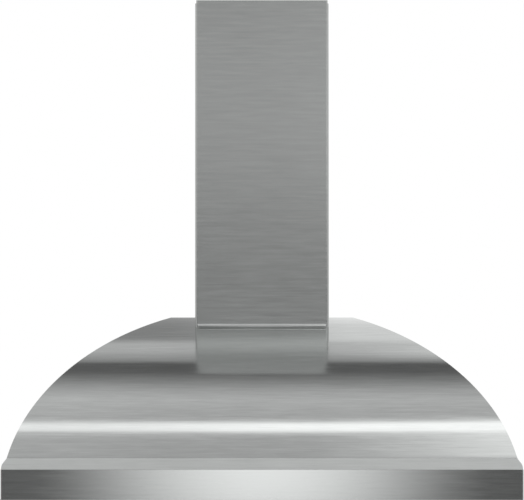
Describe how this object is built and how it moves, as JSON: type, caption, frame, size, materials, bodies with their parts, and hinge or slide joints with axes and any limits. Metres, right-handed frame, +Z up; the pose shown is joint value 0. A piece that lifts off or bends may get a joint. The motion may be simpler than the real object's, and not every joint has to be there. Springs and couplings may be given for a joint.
{
  "type": "wall mount range hood",
  "caption": "Stainless wall mount range hood: flared vaulted canopy on a deep lip, square telescopic chimney, baffle filters, lamps and push buttons beneath.",
  "frame": {"origin": "centre of the four wall screw holes, on the wall's face", "axes": "+X to the viewer's right, +Y into the wall, +Z up; the front faces -Y"},
  "size_m": [1.067, 0.6096, 1.042],
  "materials": {
    "brushed_stainless": "horizontal fine brushed grain",
    "satin_stainless": "satin, folded sheet",
    "galvanised_steel": "zinc with a faint spangle",
    "polished_steel": "polished",
    "spring_steel": "smooth rolled strip",
    "frosted_glass": "frosted inside",
    "bulb_glass": "pressed reflector glass",
    "black_plastic": "moulded, fine texture",
    "can_aluminium": "drawn can",
    "motor_paint": "semi-gloss black enamel",
    "plated_screws": "bright zinc"
  },
  "bodies": {
    "hood": {"canopy_front": "brushed_stainless", "canopy_left_side": "brushed_stainless", "canopy_right_side": "brushed_stainless", "canopy_deck": "galvanised_steel", "canopy_back": "galvanised_steel", "lip_band": "brushed_stainless", "front_rail": "satin_stainless", "left_side_rail": "satin_stainless", "right_side_rail": "satin_stainless", "rear_rail": "satin_stainless", "filter_dividers": "satin_stainless", "filter_catches": "spring_steel", "tray_guides": "satin_stainless", "left_lamp_can": "galvanised_steel", "right_lamp_can": "galvanised_steel", "left_lamp_bezel": "polished_steel", "right_lamp_bezel": "polished_steel", "left_lamp_lens": "frosted_glass", "right_lamp_lens": "frosted_glass", "lamp_bulbs": "bulb_glass", "control_plate": "satin_stainless", "switch_block": "black_plastic", "junction_box": "galvanised_steel", "junction_box_cover": "galvanised_steel", "capacitor": "can_aluminium", "capacitor_strap": "galvanised_steel", "lamp_transformer": "black_plastic", "blower_scroll": "galvanised_steel", "blower_left_side": "galvanised_steel", "blower_right_side": "galvanised_steel", "fan_motor": "motor_paint", "motor_bracket": "galvanised_steel", "duct_collar": "galvanised_steel", "damper_pin": "polished_steel", "outlet_screws": "plated_screws", "lower_chimney": "brushed_stainless", "chimney_feet": "galvanised_steel", "chimney_screws": "plated_screws"},
    "impeller": {"impeller": "galvanised_steel", "motor_shaft": "polished_steel"},
    "front_damper_flap": {"front_damper_flap": "galvanised_steel"},
    "rear_damper_flap": {"rear_damper_flap": "galvanised_steel"},
    "off_button": {"off_button": "polished_steel"},
    "low_button": {"low_button": "polished_steel"},
    "medium_button": {"medium_button": "polished_steel"},
    "high_button": {"high_button": "polished_steel"},
    "light_button": {"light_button": "polished_steel"},
    "grease_tray": {"grease_tray": "satin_stainless"},
    "upper_chimney": {"upper_chimney": "brushed_stainless", "top_bracket": "galvanised_steel"},
    "left_filter": {"left_filter_frame": "satin_stainless", "left_filter_baffles": "satin_stainless"},
    "left_filter_handle": {"left_filter_handle": "polished_steel"},
    "middle_filter": {"middle_filter_frame": "satin_stainless", "middle_filter_baffles": "satin_stainless"},
    "middle_filter_handle": {"middle_filter_handle": "polished_steel"},
    "right_filter": {"right_filter_frame": "satin_stainless", "right_filter_baffles": "satin_stainless"},
    "right_filter_handle": {"right_filter_handle": "polished_steel"}
  },
  "joints": [
    {"name": "upper_chimney_slide", "type": "slide", "parent": "hood", "child": "upper_chimney", "axis": [0, 0, 1], "range_m": [0, 0.45]},
    {"name": "impeller_spin", "type": "hinge", "parent": "hood", "child": "impeller", "pos_m": [0, -0.1895, -0.063], "axis": [1, 0, 0], "continuous": true},
    {"name": "front_damper_hinge", "type": "hinge", "parent": "hood", "child": "front_damper_flap", "pos_m": [0, -0.118, 0.161], "axis": [-1, 0, 0], "range_deg": [0, 75]},
    {"name": "rear_damper_hinge", "type": "hinge", "parent": "hood", "child": "rear_damper_flap", "pos_m": [0, -0.118, 0.161], "axis": [1, 0, 0], "range_deg": [0, 75]},
    {"name": "off_button_press", "type": "slide", "parent": "hood", "child": "off_button", "axis": [0, 0, 1], "range_m": [0, 0.0025], "stiffness_N_per_m": 400, "springref_m": -0.002},
    {"name": "low_button_press", "type": "slide", "parent": "hood", "child": "low_button", "axis": [0, 0, 1], "range_m": [0, 0.0025], "stiffness_N_per_m": 400, "springref_m": -0.002},
    {"name": "medium_button_press", "type": "slide", "parent": "hood", "child": "medium_button", "axis": [0, 0, 1], "range_m": [0, 0.0025], "stiffness_N_per_m": 400, "springref_m": -0.002},
    {"name": "high_button_press", "type": "slide", "parent": "hood", "child": "high_button", "axis": [0, 0, 1], "range_m": [0, 0.0025], "stiffness_N_per_m": 400, "springref_m": -0.002},
    {"name": "light_button_press", "type": "slide", "parent": "hood", "child": "light_button", "axis": [0, 0, 1], "range_m": [0, 0.0025], "stiffness_N_per_m": 400, "springref_m": -0.002},
    {"name": "left_filter_hinge", "type": "hinge", "parent": "hood", "child": "left_filter", "pos_m": [-0.322, -0.093, -0.261], "axis": [1, 0, 0], "range_deg": [0, 60]},
    {"name": "left_handle_hinge", "type": "hinge", "parent": "left_filter", "child": "left_filter_handle", "pos_m": [-0.322, -0.48243, -0.23928], "axis": [1, 0, 0], "range_deg": [-85, 85]},
    {"name": "middle_filter_hinge", "type": "hinge", "parent": "hood", "child": "middle_filter", "pos_m": [0, -0.093, -0.261], "axis": [1, 0, 0], "range_deg": [0, 60]},
    {"name": "middle_handle_hinge", "type": "hinge", "parent": "middle_filter", "child": "middle_filter_handle", "pos_m": [0, -0.48243, -0.23928], "axis": [1, 0, 0], "range_deg": [-85, 85]},
    {"name": "right_filter_hinge", "type": "hinge", "parent": "hood", "child": "right_filter", "pos_m": [0.322, -0.093, -0.261], "axis": [1, 0, 0], "range_deg": [0, 60]},
    {"name": "right_handle_hinge", "type": "hinge", "parent": "right_filter", "child": "right_filter_handle", "pos_m": [0.322, -0.48243, -0.23928], "axis": [1, 0, 0], "range_deg": [-85, 85]},
    {"name": "grease_tray_slide", "type": "slide", "parent": "hood", "child": "grease_tray", "axis": [0, 0, -1], "range_m": [0, 0.08]}
  ]
}
